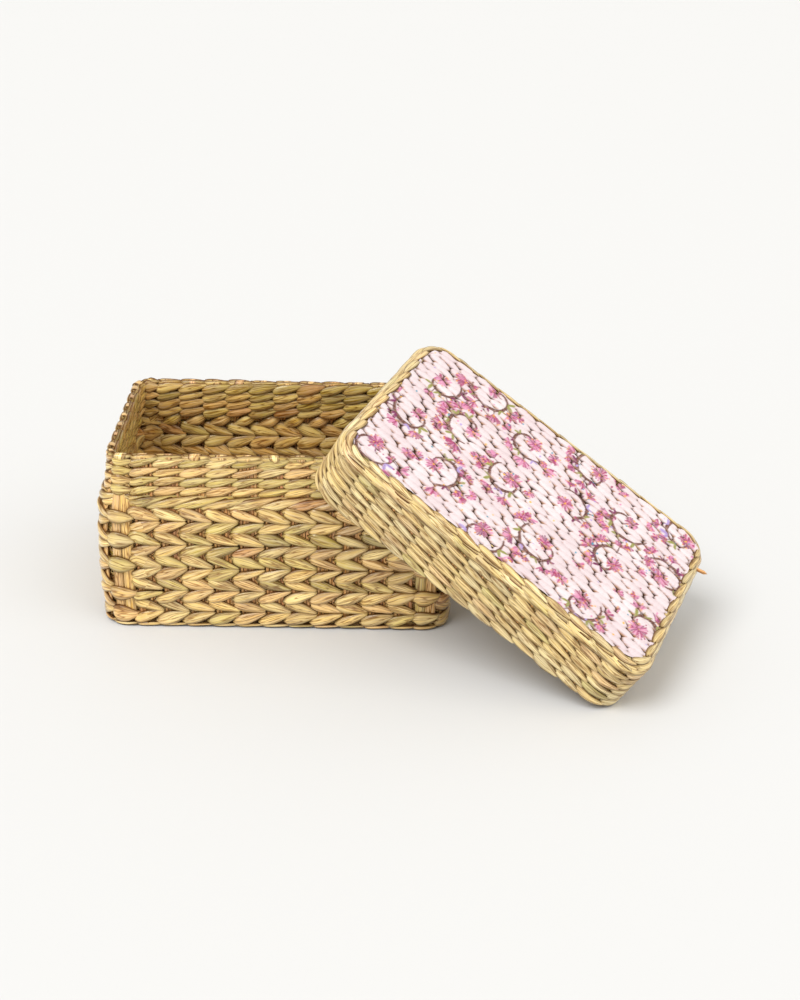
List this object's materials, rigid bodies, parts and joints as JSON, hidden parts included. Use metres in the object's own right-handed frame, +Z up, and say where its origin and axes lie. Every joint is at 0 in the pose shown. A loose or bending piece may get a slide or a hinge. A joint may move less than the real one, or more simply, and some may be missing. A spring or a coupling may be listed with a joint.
{
  "type": "woven lidded box",
  "caption": "Rectangular box of twined reed with a lift-off lid that leans on its corner; the lid slips over a stepped-in seat and carries a pasted floral print.",
  "frame": {"origin": "middle of the box's underside, on the surface it stands on", "axes": "+Z up, +X along the box's length towards the leaning lid, -Y towards the front long wall"},
  "size_m": [0.4762, 0.311, 0.2052],
  "materials": {
    "reed_wall": "satin dried reed, mixed straw, olive and tan",
    "reed_inside": "satin dried reed, darker",
    "reed_stake": "satin dried reed, tan",
    "reed_lid": "satin dried reed, pale straw",
    "print": "matt varnished paper, pale pink with a floral print"
  },
  "bodies": {
    "box": {"base_edge_strand": "reed_wall", "base_weave_under": "reed_wall", "base_weave_inside": "reed_inside", "cross_stake_01": "reed_stake", "cross_stake_02": "reed_stake", "cross_stake_03": "reed_stake", "cross_stake_04": "reed_stake", "cross_stake_05": "reed_stake", "cross_stake_06": "reed_stake", "cross_stake_07": "reed_stake", "cross_stake_08": "reed_stake", "cross_stake_09": "reed_stake", "cross_stake_10": "reed_stake", "cross_stake_11": "reed_stake", "long_stake_01": "reed_stake", "long_stake_02": "reed_stake", "long_stake_03": "reed_stake", "long_stake_04": "reed_stake", "long_stake_05": "reed_stake", "long_stake_06": "reed_stake", "long_stake_07": "reed_stake", "corner_stake_back_right": "reed_stake", "corner_stake_back_left": "reed_stake", "corner_stake_front_left": "reed_stake", "corner_stake_front_right": "reed_stake", "chevron_course_1": "reed_wall", "chevron_course_2": "reed_wall", "chevron_course_3": "reed_wall", "chevron_course_4": "reed_wall", "chevron_course_5": "reed_wall", "wale_row": "reed_wall", "lower_weave_inside": "reed_inside", "seat_row_1": "reed_wall", "seat_row_2": "reed_wall", "seat_row_3": "reed_wall", "seat_row_4": "reed_wall", "seat_weave_inside": "reed_inside", "folded_border": "reed_wall"},
    "lid": {"lid_skirt_row_1": "reed_lid", "lid_skirt_row_2": "reed_lid", "lid_skirt_row_3": "reed_lid", "lid_skirt_row_4": "reed_lid", "lid_skirt_row_5": "reed_lid", "lid_skirt_row_6": "reed_lid", "lid_skirt_row_7": "reed_lid", "lid_skirt_inside": "reed_inside", "lid_stake_frame": "reed_stake", "lid_top_inside": "reed_inside", "lid_top_weave": "reed_lid", "lid_print": "print"}
  },
  "joints": [
    {"name": "lid_lift", "type": "slide", "parent": "box", "child": "lid", "axis": [0, 0, 1], "range_m": [0, 0.25]}
  ]
}
